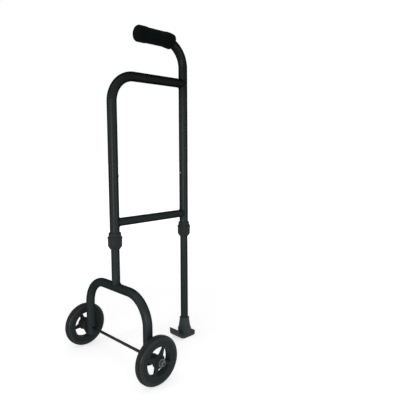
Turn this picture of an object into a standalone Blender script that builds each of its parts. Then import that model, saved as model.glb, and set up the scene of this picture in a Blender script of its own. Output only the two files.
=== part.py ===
"""One-hand walking aid: two bent tubes, two height-adjusting legs, a rocker foot and two wheels.

Metres, Z up. The user walks toward -Y, the wheels are at X = plus and minus, the floor is at Z = 0.
"""

import math

import bmesh
import bpy

# Clearances
GAP = 0.0003
PIN_GAP = 0.0003
SLIDE_GAP = 0.0003

# Layout
LEG_SPACING = 0.252
HANDLE_Z = 0.890
HANDLE_REACH = 0.158
HANDLE_TO_RAIL = 0.1145
CROSSBAR_Z = 0.3895
CROSSBAR_TO_UPRIGHT_END = 0.0515
BEND_R = 0.071
RAIL_Z = HANDLE_Z - HANDLE_TO_RAIL
UPRIGHT_END_Z = CROSSBAR_Z - CROSSBAR_TO_UPRIGHT_END

# Tubes
UPRIGHT_R = 0.0127
UPRIGHT_WALL = 0.0013
CROSSBAR_R = 0.0111
CROSSBAR_WALL = 0.0012
LEG_WALL = 0.0012
TUBE_SIDES = 20
BEND_STEPS = 7
LEG_R = UPRIGHT_R - UPRIGHT_WALL - SLIDE_GAP
LEG_TOP_MARGIN = 0.0138

# Weld beads
BEAD_R = 0.0014
BEAD_EASE = 0.003
BEAD_POINTS = 18
BEAD_SIDES = 6

# Height stops
BUTTON_Z = 0.513
STOP_PITCH = 0.0254
STOPS_EACH_WAY = 3
BUTTON_R = 0.0037
BUTTON_STANDOUT = 0.0038
BUTTON_FLANGE_R = 0.005
BUTTON_FLANGE_T = 0.0007
SPRING_T = 0.0006
SPRING_W = 0.007
SPRING_DROP = 0.042
SPRING_ABOVE = 0.005
SMALL_SIDES = 10
DISC_SIDES = 16

# Lock collar, heights from the lower edge of the nut
NUT_BELOW_UPRIGHT = 0.0192
COLLAR_Z = UPRIGHT_END_Z - NUT_BELOW_UPRIGHT
NUT_H = 0.0332
NUT_RIM_R = 0.0199
NUT_RIM_H = 0.004
NUT_BODY_R = 0.0192
NUT_LOW_R = 0.0188
NUT_CHAMFER_H = 0.0082
NUT_FOOT_R = 0.0134
NUT_FLOOR = 0.0034
SLEEVE_R = 0.0157
NECK_R = 0.015
NECK_H = 0.0033
RING_R = 0.0165
RING_H = 0.0072
GUIDE_DEPTH = 0.0067
COLLET_H = 0.0082
COLLET_TOP_R = 0.0152
COLLET_LOW_R = 0.0134
COLLET_SLOT = 0.002

# Hand grip, distances back from the closed front end
GRIP_TUBE_COVER = 0.010
GRIP_STRAIGHT = 0.096
GRIP_BEND_R = 0.115
GRIP_BEND = math.radians(14.5)
GRIP_RISE = 0.0005
GRIP_BULB_R = 0.0221
GRIP_WAIST_R = 0.0209
GRIP_BULB_LENGTH = 0.029
GRIP_STEP_LENGTH = 0.006
GRIP_NOSE_R = 0.0065
GRIP_TAIL_R = 0.005

# Foot
FOOT_WIDTH = 0.043
FOOT_SOLE_FRONT = 0.012
FOOT_SOLE_REAR = 0.016
FOOT_TOE_R = 0.037
FOOT_TOE_T = 0.007
FOOT_TOE_TURN = math.radians(83.0)
FOOT_HEEL_LENGTH = 0.016
FOOT_HEEL_RISE = 0.0112
FOOT_HEEL_T = 0.0025
FOOT_TOP_Z = 0.0115
FOOT_CORNER_R = 0.012
FOOT_SHOULDER_R = 0.0203
FOOT_SHOULDER_Z = 0.0255
FOOT_CONE_R = 0.0178
FOOT_CONE_Z = 0.030
FOOT_NECK_R = 0.0143
FOOT_BEAD_R = 0.0148
FOOT_BEAD_Z = 0.0545
FOOT_CONE_TOP = 0.060
FOOT_SOCKET_Z = 0.0097
FOOT_WASHER_T = 0.0017

# Wheel arch
ARCH_Z = 0.213
ARCH_HALF = 0.133
ARCH_BEND_R = 0.075
ARCH_R = 0.012
ARCH_WALL = 0.0015
ARCH_END_Z = 0.0466
PLUG_T = 0.0025
PLUG_DEPTH = 0.010

# Wheels
WHEEL_R = 0.0635
TREAD_ROUND = 0.0115
TREAD_FLAT = 0.0016
TREAD_STEPS = 4
TYRE_HALF = 0.0125
TYRE_SEAT_R = 0.050
TYRE_SEAT_HALF = 0.0110
RIM_HALF = 0.0112
RIM_LIP_R = 0.0400
WEB_R = 0.0392
WEB_LOW = 0.0055
WEB_HIGH = 0.0105
SPOKES = 4
SPOKE_HALF = 0.0050
WINDOW_IN_R = 0.0183
WINDOW_OUT_R = 0.0382
HUB_R = 0.0135
HUB_IN = 0.0175
HUB_OUT = 0.016
BUSH_WALL = 0.0036
BUSH_LENGTH = 0.013
BUSH_FLANGE_R = 0.010
BUSH_FLANGE_T = 0.0015
WHEEL_STEPS = 32
RIGHT_TURN = -0.436
LEFT_TURN = -0.375

# Axle
ROD_R = 0.0035
ROD_CHAMFER = 0.0006
ROD_SHOW = 0.0015
WASHER_T = 0.0015
INNER_WASHER_R = 0.009
OUTER_WASHER_R = 0.0105
NUT_FLATS = 0.013
NUT_HEX_H = 0.0052
NUT_COLLAR_R = 0.0056
NUT_COLLAR_H = 0.0018

# Places that follow from the sizes above
FOOT_LENGTH_REAR = FOOT_SOLE_REAR + FOOT_HEEL_LENGTH
FRONT_Y = -(LEG_SPACING + FOOT_LENGTH_REAR - WHEEL_R) / 2
REAR_Y = FRONT_Y + LEG_SPACING
LEG_TOP_Z = BUTTON_Z + STOPS_EACH_WAY * STOP_PITCH + LEG_TOP_MARGIN
UPRIGHT_BORE_R = UPRIGHT_R - UPRIGHT_WALL
LEG_BORE_R = LEG_R - LEG_WALL
BUTTON_HOLE_R = BUTTON_R + PIN_GAP
AXLE_HOLE_R = ROD_R + PIN_GAP
BUSH_R = AXLE_HOLE_R + BUSH_WALL
INNER_WASHER_X = ARCH_HALF + ARCH_R + GAP
BUSH_START_X = INNER_WASHER_X + WASHER_T + GAP
WHEEL_X = BUSH_START_X + BUSH_FLANGE_T + GAP + HUB_IN
BUSH_END_X = WHEEL_X + HUB_OUT + GAP + BUSH_FLANGE_T
OUTER_WASHER_X = BUSH_END_X + GAP
AXLE_NUT_X = OUTER_WASHER_X + WASHER_T + GAP
ROD_END_X = AXLE_NUT_X + NUT_HEX_H + NUT_COLLAR_H + ROD_SHOW


def clear_scene():
    for item in list(bpy.data.objects):
        bpy.data.objects.remove(item, do_unlink=True)


def new_collection(name):
    group = bpy.data.collections.new(name)
    bpy.context.scene.collection.children.link(group)
    return group


def make_material(name, colour, roughness, metallic):
    material = bpy.data.materials.new(name)
    material.use_nodes = True
    shader = material.node_tree.nodes["Principled BSDF"]
    shader.inputs["Base Color"].default_value = (*colour, 1.0)
    shader.inputs["Roughness"].default_value = roughness
    shader.inputs["Metallic"].default_value = metallic
    material.diffuse_color = (*colour, 1.0)
    return material


def empty(name, location, rotation=(0.0, 0.0, 0.0), parent=None):
    """A joint's or a group's place. It isn't a piece."""
    item = bpy.data.objects.new(name, None)
    item.empty_display_size = 0.02
    item.location = location
    item.rotation_euler = rotation
    item.parent = parent
    PARTS.objects.link(item)
    return item


def place(item, parent, location, rotation, group):
    item.parent = parent
    item.location = location
    item.rotation_euler = rotation
    group.objects.link(item)
    return item


def dress(item, material):
    """Gives a finished piece its material and smooth shading with sharp edges kept."""
    item.data.materials.clear()
    item.data.materials.append(material)
    item.data.shade_smooth()
    item.data.set_sharp_from_angle(angle=math.radians(32.0))
    return item


def as_mesh(item):
    """Turns a curve object into a mesh object of the same name and place."""
    bpy.context.view_layer.update()
    graph = bpy.context.evaluated_depsgraph_get()
    mesh = bpy.data.meshes.new_from_object(item.evaluated_get(graph))
    work = bmesh.new()
    work.from_mesh(mesh)
    bmesh.ops.remove_doubles(work, verts=work.verts, dist=0.000001)
    bmesh.ops.recalc_face_normals(work, faces=work.faces)
    work.to_mesh(mesh)
    work.free()
    name = item.name
    group = item.users_collection[0]
    parent = item.parent
    location = item.location.copy()
    rotation = item.rotation_euler.copy()
    bpy.data.objects.remove(item, do_unlink=True)
    return place(bpy.data.objects.new(name, mesh), parent, location, rotation, group)


def arc(centre, radius, start, end, steps):
    """Points of a circle's arc in a plane, from one angle to another."""
    points = []
    for step in range(steps + 1):
        angle = start + (end - start) * step / steps
        points.append((centre[0] + radius * math.cos(angle), centre[1] + radius * math.sin(angle)))
    return points


def pipe(name, path, radius, sides, parent, location=(0.0, 0.0, 0.0), rotation=(0.0, 0.0, 0.0),
         radii=None, closed=False, caps=True, group=None):
    """A round bar along a path, or its open skin."""
    curve = bpy.data.curves.new(name, "CURVE")
    curve.dimensions = "3D"
    curve.twist_mode = "MINIMUM"
    curve.bevel_depth = radius
    curve.bevel_resolution = (sides - 4) // 2
    curve.use_fill_caps = caps
    spline = curve.splines.new("POLY")
    spline.points.add(len(path) - 1)
    spline.use_cyclic_u = closed
    for index, point in enumerate(path):
        spline.points[index].co = (*point, 1.0)
        if radii:
            spline.points[index].radius = radii[index] / radius
    item = bpy.data.objects.new(name, curve)
    return as_mesh(place(item, parent, location, rotation, group or PARTS))


def tube(name, path, radius, wall, parent, location=(0.0, 0.0, 0.0), rotation=(0.0, 0.0, 0.0)):
    """A round tube with open ends."""
    item = pipe(name, path, radius, TUBE_SIDES, parent, location, rotation, caps=False)
    skin = item.modifiers.new("wall", "SOLIDIFY")
    skin.thickness = wall
    skin.offset = -1.0
    skin.use_even_offset = True
    return item


def turned(name, profile, steps, parent, location=(0.0, 0.0, 0.0), rotation=(0.0, 0.0, 0.0), group=None):
    """A solid turned about its own Z axis from (radius, height) points that run down its outer side."""
    mesh = bpy.data.meshes.new(name)
    work = bmesh.new()
    points = [work.verts.new((radius, 0.0, height)) for radius, height in profile]
    for first, second in zip(points, points[1:]):
        work.edges.new((first, second))
    if profile[0][0] > 0.0:
        work.edges.new((points[-1], points[0]))
    work.to_mesh(mesh)
    work.free()
    item = place(bpy.data.objects.new(name, mesh), parent, location, rotation, group or PARTS)
    screw = item.modifiers.new("turn", "SCREW")
    screw.steps = steps
    screw.render_steps = steps
    screw.use_merge_vertices = True
    screw.merge_threshold = 0.00001
    return item


def flat(name, points, thickness, parent, location=(0.0, 0.0, 0.0), rotation=(0.0, 0.0, 0.0), group=None):
    """A flat plate with the given outline in its own XY plane, half its thickness on each side."""
    curve = bpy.data.curves.new(name, "CURVE")
    curve.dimensions = "2D"
    curve.fill_mode = "BOTH"
    curve.extrude = thickness / 2
    spline = curve.splines.new("POLY")
    spline.points.add(len(points) - 1)
    spline.use_cyclic_u = True
    for index, point in enumerate(points):
        spline.points[index].co = (point[0], point[1], 0.0, 1.0)
    item = bpy.data.objects.new(name, curve)
    return as_mesh(place(item, parent, location, rotation, group or PARTS))


def rod(name, radius, length, sides, parent, location, rotation=(0.0, 0.0, 0.0), group=None):
    """A plain cylinder centred on its origin, along its own Z axis."""
    mesh = bpy.data.meshes.new(name)
    work = bmesh.new()
    bmesh.ops.create_cone(work, cap_ends=True, segments=sides, radius1=radius, radius2=radius, depth=length)
    work.to_mesh(mesh)
    work.free()
    return place(bpy.data.objects.new(name, mesh), parent, location, rotation, group or PARTS)


def combine(item, tool, operation):
    """Cuts, joins or keeps the common part of a piece and a tool."""
    tool.hide_render = True
    tool.display_type = "WIRE"
    step = item.modifiers.new(tool.name, "BOOLEAN")
    step.object = tool
    step.operation = operation
    step.solver = "EXACT"
    return item


def saddle(branch_r, main_r):
    """A weld's path round a branch that runs toward +Z and ends on a main tube along X at Z = 0."""
    around = branch_r + BEAD_R + GAP
    off = main_r + BEAD_R + GAP
    points = []
    for step in range(BEAD_POINTS):
        angle = 2 * math.pi * step / BEAD_POINTS
        x = around * math.cos(angle)
        y = around * math.sin(angle)
        points.append((x, y, math.sqrt(max(off * off - y * y, 0.0) + BEAD_EASE * BEAD_EASE)))
    return points


def bent_path(height, radius, reach):
    """A path up the Z axis, round a bend and along +Y."""
    path = [(0.0, 0.0, UPRIGHT_END_Z)]
    for y, z in arc((radius, height - radius), radius, math.pi, math.pi / 2, BEND_STEPS):
        path.append((0.0, y, z))
    path.append((0.0, reach, height))
    return path


def build_frame(rear, front):
    rear_upright = tube("rear_upright", bent_path(HANDLE_Z, BEND_R, HANDLE_REACH), UPRIGHT_R, UPRIGHT_WALL,
                        rear, rotation=(0.0, 0.0, math.pi))
    front_upright = tube("front_upright", bent_path(RAIL_Z, BEND_R, LEG_SPACING), UPRIGHT_R, UPRIGHT_WALL,
                         front)
    notch_r = UPRIGHT_R + GAP
    rail_notch = rod("rail_notch", notch_r, 4 * UPRIGHT_R, TUBE_SIDES, front, (0.0, LEG_SPACING, RAIL_Z),
                     group=CUTTERS)
    combine(front_upright, rail_notch, "DIFFERENCE")

    crossbar = tube("crossbar", [(0.0, 0.0, 0.0), (0.0, LEG_SPACING, 0.0)], CROSSBAR_R, CROSSBAR_WALL,
                    front, location=(0.0, 0.0, CROSSBAR_Z))
    for name, y in (("crossbar_front_notch", 0.0), ("crossbar_rear_notch", LEG_SPACING)):
        notch = rod(name, notch_r, 4 * CROSSBAR_R, TUBE_SIDES, front, (0.0, y, CROSSBAR_Z), group=CUTTERS)
        combine(crossbar, notch, "DIFFERENCE")

    for side, upright, axis in (("rear", rear_upright, REAR_BUTTON), ("front", front_upright, FRONT_BUTTON)):
        hole = rod(side + "_upright_hole", BUTTON_HOLE_R, UPRIGHT_R, SMALL_SIDES, axis,
                   (0.0, 0.0, UPRIGHT_R), group=CUTTERS)
        combine(upright, hole, "DIFFERENCE")

    for name, z, y, way, branch_r in (
            ("rail_weld", RAIL_Z, LEG_SPACING, -1, UPRIGHT_R),
            ("crossbar_rear_weld", CROSSBAR_Z, LEG_SPACING, -1, CROSSBAR_R),
            ("crossbar_front_weld", CROSSBAR_Z, 0.0, 1, CROSSBAR_R)):
        path = []
        for across, along, out in saddle(branch_r, UPRIGHT_R):
            path.append((along, way * out, across))
        dress(pipe(name, path, BEAD_R, BEAD_SIDES, front, (0.0, y, z), closed=True), WELD_BLACK)

    for item in (rear_upright, front_upright, crossbar):
        dress(item, FRAME_BLACK)


def build_grip(rear):
    """The grip runs back from its closed front end over the straight handle and follows the bend gently."""
    nose = -(HANDLE_REACH + GRIP_TUBE_COVER)
    height = HANDLE_Z + GRIP_RISE
    path = []
    radii = []
    for step in range(5):
        angle = math.pi / 2 * step / 4
        path.append((0.0, nose + GRIP_NOSE_R * (1 - math.cos(angle)), height))
        radii.append(GRIP_BULB_R - GRIP_NOSE_R * (1 - math.sin(angle)))
    path.append((0.0, nose + GRIP_BULB_LENGTH, height))
    radii.append(GRIP_BULB_R)
    path.append((0.0, nose + GRIP_BULB_LENGTH + GRIP_STEP_LENGTH, height))
    radii.append(GRIP_WAIST_R)
    bend_y = nose + GRIP_STRAIGHT
    path.append((0.0, bend_y, height))
    radii.append(GRIP_WAIST_R)
    for share, drop in ((0.2, 0.0), (0.4, 0.0), (0.6, 0.0), (0.8, 0.0), (0.95, 0.3), (1.0, 1.0)):
        angle = GRIP_BEND * share
        path.append((0.0, bend_y + GRIP_BEND_R * math.sin(angle), height - GRIP_BEND_R * (1 - math.cos(angle))))
        radii.append(GRIP_BULB_R - GRIP_TAIL_R * drop)
    grip = pipe("hand_grip", path, GRIP_BULB_R, TUBE_SIDES, rear, radii=radii)

    bore_path = [(0.0, HANDLE_REACH + GAP, HANDLE_Z)]
    for y, z in arc((BEND_R, HANDLE_Z - BEND_R), BEND_R, math.pi / 2, math.pi, BEND_STEPS):
        bore_path.append((0.0, y, z))
    bore = pipe("grip_bore", bore_path, UPRIGHT_R + GAP, TUBE_SIDES, rear, rotation=(0.0, 0.0, math.pi),
                group=CUTTERS)
    combine(grip, bore, "DIFFERENCE")
    dress(grip, GRIP_BLACK)


def build_collar(side, leg_axis, nut_axis):
    nut_top = COLLAR_Z + NUT_H
    bush_low = COLLAR_Z + NUT_FLOOR + GAP + COLLET_H + GAP
    shoulder = UPRIGHT_END_Z - GAP
    bore = UPRIGHT_R + GAP
    guide = LEG_R + SLIDE_GAP
    edge = 0.0004
    ring_low = nut_top + NECK_H
    ring_top = ring_low + RING_H
    bush = turned(side + "_collar_bush", [
        (bore, ring_top),
        (RING_R - edge, ring_top),
        (RING_R, ring_top - edge),
        (RING_R, ring_low),
        (NECK_R, ring_low),
        (NECK_R, nut_top - NECK_H / 2),
        (SLEEVE_R, nut_top - NECK_H / 2 - (SLEEVE_R - NECK_R)),
        (SLEEVE_R, bush_low + GUIDE_DEPTH / 2),
        (COLLET_TOP_R, bush_low + GUIDE_DEPTH / 2 - (SLEEVE_R - COLLET_TOP_R)),
        (COLLET_TOP_R, bush_low),
        (guide, bush_low),
        (guide, shoulder),
        (bore, shoulder),
    ], TUBE_SIDES, leg_axis)
    dress(bush, COLLAR_BLACK)

    collet_low = COLLAR_Z + NUT_FLOOR + GAP
    collet_top = collet_low + COLLET_H
    ring = turned(side + "_collar_ring", [
        (guide, collet_top),
        (COLLET_TOP_R, collet_top),
        (COLLET_LOW_R, collet_low),
        (guide, collet_low),
    ], TUBE_SIDES, leg_axis)
    slot = flat(side + "_ring_slot", [
        (0.0, -COLLET_SLOT / 2),
        (2 * COLLET_TOP_R, -COLLET_SLOT / 2),
        (2 * COLLET_TOP_R, COLLET_SLOT / 2),
        (0.0, COLLET_SLOT / 2),
    ], 2 * COLLET_H, leg_axis, (0.0, 0.0, (collet_low + collet_top) / 2), group=CUTTERS)
    combine(ring, slot, "DIFFERENCE")
    dress(ring, COLLAR_NATURAL)

    seat_top_r = max(COLLET_TOP_R, SLEEVE_R) + GAP
    floor = NUT_FLOOR
    nut = turned(side + "_lock_nut", [
        (seat_top_r, NUT_H),
        (NUT_RIM_R - edge, NUT_H),
        (NUT_RIM_R, NUT_H - edge),
        (NUT_RIM_R, NUT_H - NUT_RIM_H),
        (NUT_BODY_R, NUT_H - NUT_RIM_H - (NUT_RIM_R - NUT_BODY_R)),
        (NUT_LOW_R, NUT_CHAMFER_H),
        (NUT_FOOT_R, 0.0),
        (guide, 0.0),
        (guide, floor),
        (COLLET_LOW_R + GAP + GAP, floor),
        (seat_top_r, floor + GAP + COLLET_H),
    ], TUBE_SIDES, nut_axis)
    dress(nut, COLLAR_BLACK)


def build_leg(side, name, low_z, leg_axis, button_axis):
    """A leg tube with its row of stop holes, and the button and clip in its bore."""
    leg = tube(name, [(0.0, 0.0, low_z), (0.0, 0.0, LEG_TOP_Z)], LEG_R, LEG_WALL, leg_axis)
    for index in range(-STOPS_EACH_WAY, STOPS_EACH_WAY + 1):
        hole = rod(side + "_leg_hole_%d" % (index + STOPS_EACH_WAY + 1), BUTTON_HOLE_R, LEG_R, SMALL_SIDES,
                   button_axis, (0.0, index * STOP_PITCH, LEG_R), group=CUTTERS)
        combine(leg, hole, "DIFFERENCE")
    dress(leg, LEG_BLACK)

    tip = UPRIGHT_R + BUTTON_STANDOUT
    flange_top = math.sqrt((LEG_BORE_R - 2 * GAP) ** 2 - BUTTON_FLANGE_R ** 2)
    profile = []
    for radius, height in arc((0.0, tip - BUTTON_R), BUTTON_R, math.pi / 2, 0.0, 4):
        profile.append((max(radius, 0.0), height))
    profile[0] = (0.0, tip)
    profile.append((BUTTON_R, flange_top))
    profile.append((BUTTON_FLANGE_R, flange_top))
    profile.append((BUTTON_FLANGE_R, flange_top - BUTTON_FLANGE_T))
    profile.append((0.0, flange_top - BUTTON_FLANGE_T))
    button = turned(side + "_button", profile, SMALL_SIDES, button_axis)
    dress(button, BRIGHT_STEEL)

    near = flange_top - BUTTON_FLANGE_T - GAP - SPRING_T / 2
    far = math.sqrt((LEG_BORE_R - 2 * GAP) ** 2 - (SPRING_W / 2) ** 2) - SPRING_T / 2
    turn_r = LEG_BORE_R / 3
    path = [(near, SPRING_ABOVE), (near, -SPRING_ABOVE)]
    for point in arc((0.0, -SPRING_DROP), turn_r, 0.0, -math.pi, 8):
        path.append(point)
    path.append((-far, SPRING_ABOVE))
    ribbon = bpy.data.curves.new(side + "_button_spring", "CURVE")
    ribbon.dimensions = "2D"
    ribbon.fill_mode = "NONE"
    ribbon.extrude = SPRING_W / 2
    spline = ribbon.splines.new("POLY")
    spline.points.add(len(path) - 1)
    for index, point in enumerate(path):
        spline.points[index].co = (point[0], point[1], 0.0, 1.0)
    item = bpy.data.objects.new(side + "_button_spring", ribbon)
    spring = as_mesh(place(item, button_axis, (0.0, 0.0, 0.0), (0.0, -math.pi / 2, 0.0), PARTS))
    strip = spring.modifiers.new("strip", "SOLIDIFY")
    strip.thickness = SPRING_T
    strip.offset = 0.0
    strip.use_even_offset = True
    dress(spring, SPRING_STEEL)
    return leg


def build_foot(rear):
    """The sole's side outline is cut to its plan outline, joined to the cone and bored for the leg."""
    toe_centre = (-FOOT_SOLE_FRONT, FOOT_TOE_R)
    down = -math.pi / 2
    side_view = arc(toe_centre, FOOT_TOE_R, down, down - FOOT_TOE_TURN, 8)
    tip_r = FOOT_TOE_T / 2
    tip_angle = down - FOOT_TOE_TURN
    tip = (toe_centre[0] + (FOOT_TOE_R - tip_r) * math.cos(tip_angle),
           toe_centre[1] + (FOOT_TOE_R - tip_r) * math.sin(tip_angle))
    side_view += arc(tip, tip_r, tip_angle, tip_angle - math.pi, 4)[1:]
    inner_r = FOOT_TOE_R - FOOT_TOE_T
    low_turn = math.acos((FOOT_TOE_R - FOOT_TOP_Z) / inner_r)
    side_view += arc(toe_centre, inner_r, tip_angle, down - low_turn, 6)[1:]
    side_view.append((FOOT_SOLE_REAR, FOOT_TOP_Z))
    side_view += arc((FOOT_LENGTH_REAR - FOOT_HEEL_T / 2 - 0.0002, FOOT_HEEL_RISE), FOOT_HEEL_T / 2,
                     math.pi / 2, 0.0, 3)
    for y, z in arc((0.0, 0.0), 1.0, 0.0, down, 6):
        side_view.append((FOOT_SOLE_REAR + FOOT_HEEL_LENGTH * y, FOOT_HEEL_RISE * (1 + z)))
    foot = flat("foot", side_view, FOOT_WIDTH, rear, rotation=(math.pi / 2, 0.0, math.pi / 2))

    front_y = -(FOOT_SOLE_FRONT + FOOT_TOE_R + GAP)
    rear_y = FOOT_LENGTH_REAR + GAP
    half = FOOT_WIDTH / 2
    corner = FOOT_CORNER_R
    plan = []
    for x, y, start in ((half - corner, rear_y - corner, 0), (corner - half, rear_y - corner, 1),
                        (corner - half, front_y + corner, 2), (half - corner, front_y + corner, 3)):
        plan += arc((x, y), corner, start * math.pi / 2, (start + 1) * math.pi / 2, 5)
    plan_tool = flat("foot_plan", plan, 4 * FOOT_TOE_R, rear, group=CUTTERS)
    combine(foot, plan_tool, "INTERSECT")

    edge = 0.0012
    cone = turned("foot_cone", [
        (0.0, FOOT_CONE_TOP),
        (FOOT_BEAD_R - edge, FOOT_CONE_TOP),
        (FOOT_BEAD_R, FOOT_CONE_TOP - edge),
        (FOOT_BEAD_R, FOOT_BEAD_Z + edge),
        (FOOT_NECK_R, FOOT_BEAD_Z),
        (FOOT_CONE_R, FOOT_CONE_Z),
        (FOOT_SHOULDER_R - edge, FOOT_SHOULDER_Z + edge),
        (FOOT_SHOULDER_R, FOOT_SHOULDER_Z),
        (FOOT_SHOULDER_R, FOOT_TOP_Z / 2),
        (0.0, FOOT_TOP_Z / 2),
    ], TUBE_SIDES, rear, group=CUTTERS)
    combine(foot, cone, "UNION")
    socket = rod("foot_socket", LEG_R + SLIDE_GAP, FOOT_CONE_TOP, TUBE_SIDES, rear,
                 (0.0, 0.0, FOOT_SOCKET_Z + FOOT_CONE_TOP / 2), group=CUTTERS)
    combine(foot, socket, "DIFFERENCE")
    dress(foot, FOOT_RUBBER)

    washer = rod("foot_washer", LEG_R, FOOT_WASHER_T, TUBE_SIDES, rear,
                 (0.0, 0.0, FOOT_SOCKET_Z + GAP + FOOT_WASHER_T / 2))
    dress(washer, BRIGHT_STEEL)


def build_arch(front, front_leg):
    path = [(-ARCH_HALF, 0.0, ARCH_END_Z)]
    corner_x = ARCH_HALF - ARCH_BEND_R
    corner_z = ARCH_Z - ARCH_BEND_R
    for x, z in arc((-corner_x, corner_z), ARCH_BEND_R, math.pi, math.pi / 2, BEND_STEPS):
        path.append((x, 0.0, z))
    for x, z in arc((corner_x, corner_z), ARCH_BEND_R, math.pi / 2, 0.0, BEND_STEPS):
        path.append((x, 0.0, z))
    path.append((ARCH_HALF, 0.0, ARCH_END_Z))
    arch = tube("wheel_arch", path, ARCH_R, ARCH_WALL, front)
    for name, x in (("right_arch_hole", ARCH_HALF), ("left_arch_hole", -ARCH_HALF)):
        hole = rod(name, AXLE_HOLE_R, 4 * ARCH_R, SMALL_SIDES, front, (x, 0.0, WHEEL_R),
                   (0.0, math.pi / 2, 0.0), CUTTERS)
        combine(arch, hole, "DIFFERENCE")
    dress(arch, FRAME_BLACK)

    notch = rod("front_leg_notch", ARCH_R + GAP, 4 * LEG_R, TUBE_SIDES, front, (0.0, 0.0, ARCH_Z),
                (0.0, math.pi / 2, 0.0), CUTTERS)
    combine(front_leg, notch, "DIFFERENCE")
    bead = pipe("arch_weld", saddle(LEG_R, ARCH_R), BEAD_R, BEAD_SIDES, front, (0.0, 0.0, ARCH_Z),
                closed=True)
    dress(bead, WELD_BLACK)

    stem = ARCH_R - ARCH_WALL - GAP
    edge = 0.0006
    for name, x in (("right_arch_plug", ARCH_HALF), ("left_arch_plug", -ARCH_HALF)):
        plug = turned(name, [
            (0.0, PLUG_DEPTH),
            (stem, PLUG_DEPTH),
            (stem, -GAP),
            (ARCH_R, -GAP),
            (ARCH_R, edge - PLUG_T),
            (ARCH_R - edge, -PLUG_T),
            (0.0, -PLUG_T),
        ], TUBE_SIDES, front, (x, 0.0, ARCH_END_Z))
        dress(plug, PLUG_BLACK)

    axle = turned("axle_rod", [
        (0.0, ROD_END_X),
        (ROD_R - ROD_CHAMFER, ROD_END_X),
        (ROD_R, ROD_END_X - ROD_CHAMFER),
        (ROD_R, ROD_CHAMFER - ROD_END_X),
        (ROD_R - ROD_CHAMFER, -ROD_END_X),
        (0.0, -ROD_END_X),
    ], SMALL_SIDES, front, (0.0, 0.0, WHEEL_R), (0.0, math.pi / 2, 0.0))
    dress(axle, ROD_STEEL)


def flanged_bush(name, flange_face, way, axis):
    """A bush about the wheel's axis. Its barrel runs from the flange's face in the given way."""
    points = [
        (AXLE_HOLE_R, flange_face - way * BUSH_FLANGE_T),
        (BUSH_FLANGE_R, flange_face - way * BUSH_FLANGE_T),
        (BUSH_FLANGE_R, flange_face),
        (BUSH_R, flange_face),
        (BUSH_R, flange_face + way * BUSH_LENGTH),
        (AXLE_HOLE_R, flange_face + way * BUSH_LENGTH),
    ]
    if way > 0:
        points.reverse()
    return turned(name, points, DISC_SIDES, axis)


def build_wheel(side, spin, turn):
    """A wheel about its own Z axis, which points away from the walking aid's middle."""
    upper = [(TYRE_SEAT_R, TYRE_SEAT_HALF)]
    for step in range(TREAD_STEPS + 1):
        angle = math.pi / 2 * step / TREAD_STEPS
        upper.append((WHEEL_R - TREAD_ROUND * (1 - math.sin(angle)),
                      TREAD_FLAT + (TYRE_HALF - TREAD_FLAT) * math.cos(angle)))
    lower = [(radius, -height) for radius, height in reversed(upper)]
    tyre = turned(side + "_tyre", upper + lower, WHEEL_STEPS, spin)
    dress(tyre, TYRE_RUBBER)

    bore = BUSH_R + GAP
    rim = TYRE_SEAT_R - GAP
    core = turned(side + "_wheel_core", [
        (bore, HUB_OUT),
        (HUB_R, HUB_OUT),
        (HUB_R, WEB_HIGH),
        (WEB_R, WEB_HIGH),
        (RIM_LIP_R, RIM_HALF),
        (rim, RIM_HALF),
        (rim, -RIM_HALF),
        (RIM_LIP_R, -RIM_HALF),
        (WEB_R, WEB_LOW),
        (HUB_R, WEB_LOW),
        (HUB_R, -HUB_IN),
        (bore, -HUB_IN),
    ], WHEEL_STEPS, spin, rotation=(0.0, 0.0, turn))
    middle = math.pi / SPOKES
    out_half = middle - math.asin(SPOKE_HALF / WINDOW_OUT_R)
    in_half = middle - math.asin(SPOKE_HALF / WINDOW_IN_R)
    window = arc((0.0, 0.0), WINDOW_OUT_R, -out_half, out_half, 6)
    window += arc((0.0, 0.0), WINDOW_IN_R, in_half, -in_half, 3)
    for index in range(SPOKES):
        place_angle = turn + middle + 2 * math.pi * index / SPOKES
        tool = flat(side + "_window_%d" % (index + 1), window, 4 * (WEB_HIGH - WEB_LOW), spin,
                    (0.0, 0.0, (WEB_LOW + WEB_HIGH) / 2), (0.0, 0.0, place_angle), CUTTERS)
        combine(core, tool, "DIFFERENCE")
    dress(core, WHEEL_BLACK)

    for name, face, way in ((side + "_inner_bush", -HUB_IN - GAP, 1), (side + "_outer_bush", HUB_OUT + GAP, -1)):
        dress(flanged_bush(name, face, way, spin), BUSH_PLASTIC)


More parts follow.
